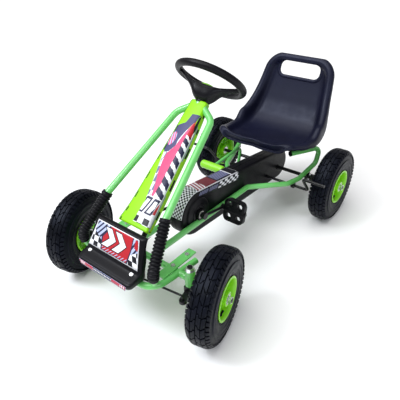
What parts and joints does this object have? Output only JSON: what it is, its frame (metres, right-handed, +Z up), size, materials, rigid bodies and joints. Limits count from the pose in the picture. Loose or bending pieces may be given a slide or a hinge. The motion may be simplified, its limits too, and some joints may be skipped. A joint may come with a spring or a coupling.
{
  "type": "pedal go kart",
  "caption": "Child's pedal go kart: tube frame, pneumatic wheels, steering wheel and tie rods, chain drive under a case, hand brake and a bucket seat.",
  "frame": {"origin": "on the ground, under the middle of the bounding box", "axes": "+Z up, the kart drives towards -Y, +X is the driver's left"},
  "size_m": [0.6108, 1.0345, 0.6311],
  "materials": {
    "tyre_rubber": "satin block tread",
    "tube_rubber": "matte",
    "lime_plastic": "gloss",
    "green_paint": "gloss powder coat",
    "black_plastic": "satin",
    "seat_plastic": "satin",
    "black_steel": "satin black paint",
    "zinc_steel": "zinc plated",
    "bearing_steel": "ground",
    "nylon": "matte",
    "chain_steel": "oiled"
  },
  "bodies": {
    "frame": {"front_loop": "green_paint", "front_beam": "green_paint", "steering_head": "green_paint", "hoop_leg_left": "green_paint", "hoop_leg_right": "green_paint", "side_rail_left": "green_paint", "side_rail_right": "green_paint", "loop_straps": "green_paint", "bearing_brackets": "black_steel", "seat_crossbars": "black_steel", "hose_left": "black_plastic", "hose_right": "black_plastic", "bumper_shell": "black_plastic", "chain_case_left": "black_plastic", "chain_case_right": "black_plastic", "rail_end_plugs": "black_plastic", "seat_shell": "seat_plastic", "fairing": "lime_plastic", "bumper_bolts": "zinc_steel", "frame_bolts": "zinc_steel", "axle_bearings": "bearing_steel", "crank_bushes": "nylon", "column_bushes": "nylon", "chain": "chain_steel"},
    "steering": {"steering_column": "black_steel", "steering_wheel_rim": "black_plastic", "steering_hub": "black_plastic", "steering_cap": "lime_plastic"},
    "knuckle_left": {"knuckle_left": "black_steel", "knuckle_nuts_left": "zinc_steel"},
    "tie_rod_left": {"tie_rod_left": "black_steel"},
    "front_left_wheel": {"front_left_tyre": "tyre_rubber", "front_left_inner_tube": "tube_rubber", "front_left_rim": "lime_plastic", "front_left_bearings": "bearing_steel"},
    "pedal_left": {"pedal_left": "black_plastic"},
    "knuckle_right": {"knuckle_right": "black_steel", "knuckle_nuts_right": "zinc_steel"},
    "tie_rod_right": {"tie_rod_right": "black_steel"},
    "front_right_wheel": {"front_right_tyre": "tyre_rubber", "front_right_inner_tube": "tube_rubber", "front_right_rim": "lime_plastic", "front_right_bearings": "bearing_steel"},
    "pedal_right": {"pedal_right": "black_plastic"},
    "rear_left_wheel": {"rear_left_tyre": "tyre_rubber", "rear_left_inner_tube": "tube_rubber", "rear_left_rim": "lime_plastic", "rear_left_bearings": "bearing_steel"},
    "rear_drive": {"rear_axle": "black_steel", "rear_sprocket": "chain_steel", "rear_axle_nuts": "zinc_steel", "rear_right_drive_sleeves": "zinc_steel", "rear_right_tyre": "tyre_rubber", "rear_right_inner_tube": "tube_rubber", "rear_right_rim": "lime_plastic"},
    "crank": {"crank": "black_steel", "chainring": "chain_steel"},
    "brake": {"brake_bar": "black_steel", "brake_lever": "green_paint", "brake_grip": "lime_plastic"}
  },
  "joints": [
    {"name": "steering_turn", "type": "hinge", "parent": "frame", "child": "steering", "pos_m": [0, -0.05255, 0.5586], "axis": [0, 0.6508, 0.7593], "range_deg": [-52, 16]},
    {"name": "knuckle_left_turn", "type": "hinge", "parent": "frame", "child": "knuckle_left", "pos_m": [0.175, -0.37055, 0.13], "axis": [0, 0, 1], "range_deg": [-40, 13]},
    {"name": "tie_rod_left_swing", "type": "hinge", "parent": "knuckle_left", "child": "tie_rod_left", "pos_m": [0.18551, -0.41431, 0.13], "axis": [0, 0, 1], "range_deg": [-15, 45]},
    {"name": "front_left_wheel_spin", "type": "hinge", "parent": "knuckle_left", "child": "front_left_wheel", "pos_m": [0.24598, -0.35351, 0.13], "axis": [0.9724, 0.2334, 0], "continuous": true},
    {"name": "knuckle_right_turn", "type": "hinge", "parent": "frame", "child": "knuckle_right", "pos_m": [-0.175, -0.37055, 0.13], "axis": [0, 0, 1], "range_deg": [-40, 13]},
    {"name": "tie_rod_right_swing", "type": "hinge", "parent": "knuckle_right", "child": "tie_rod_right", "pos_m": [-0.1645, -0.41431, 0.13], "axis": [0, 0, 1], "range_deg": [-15, 45]},
    {"name": "front_right_wheel_spin", "type": "hinge", "parent": "knuckle_right", "child": "front_right_wheel", "pos_m": [-0.24598, -0.38759, 0.13], "axis": [0.9724, 0.2334, 0], "continuous": true},
    {"name": "rear_axle_spin", "type": "hinge", "parent": "frame", "child": "rear_drive", "pos_m": [0, 0.33345, 0.13], "axis": [1, 0, 0], "continuous": true},
    {"name": "rear_left_wheel_spin", "type": "hinge", "parent": "rear_drive", "child": "rear_left_wheel", "pos_m": [0.248, 0.33345, 0.13], "axis": [1, 0, 0], "continuous": true},
    {"name": "crank_spin", "type": "hinge", "parent": "frame", "child": "crank", "pos_m": [0, -0.15655, 0.184], "axis": [1, 0, 0], "continuous": true},
    {"name": "pedal_left_spin", "type": "hinge", "parent": "crank", "child": "pedal_left", "pos_m": [0.0975, -0.05839, 0.16492], "axis": [1, 0, 0], "continuous": true},
    {"name": "pedal_right_spin", "type": "hinge", "parent": "crank", "child": "pedal_right", "pos_m": [-0.0975, -0.25471, 0.20308], "axis": [1, 0, 0], "continuous": true},
    {"name": "brake_pull", "type": "hinge", "parent": "frame", "child": "brake", "pos_m": [0, 0.25145, 0.126], "axis": [-1, 0, 0], "range_deg": [0, 23.5]}
  ],
  "couplings": [
    {"joint": "knuckle_left_turn", "follows": "steering_turn", "ratio": 0.75556},
    {"joint": "knuckle_right_turn", "follows": "steering_turn", "ratio": 0.75556},
    {"joint": "tie_rod_left_swing", "follows": "steering_turn", "ratio": -0.79482},
    {"joint": "tie_rod_right_swing", "follows": "steering_turn", "ratio": -0.79498},
    {"joint": "crank_spin", "follows": "rear_axle_spin", "ratio": 0.85714}
  ]
}
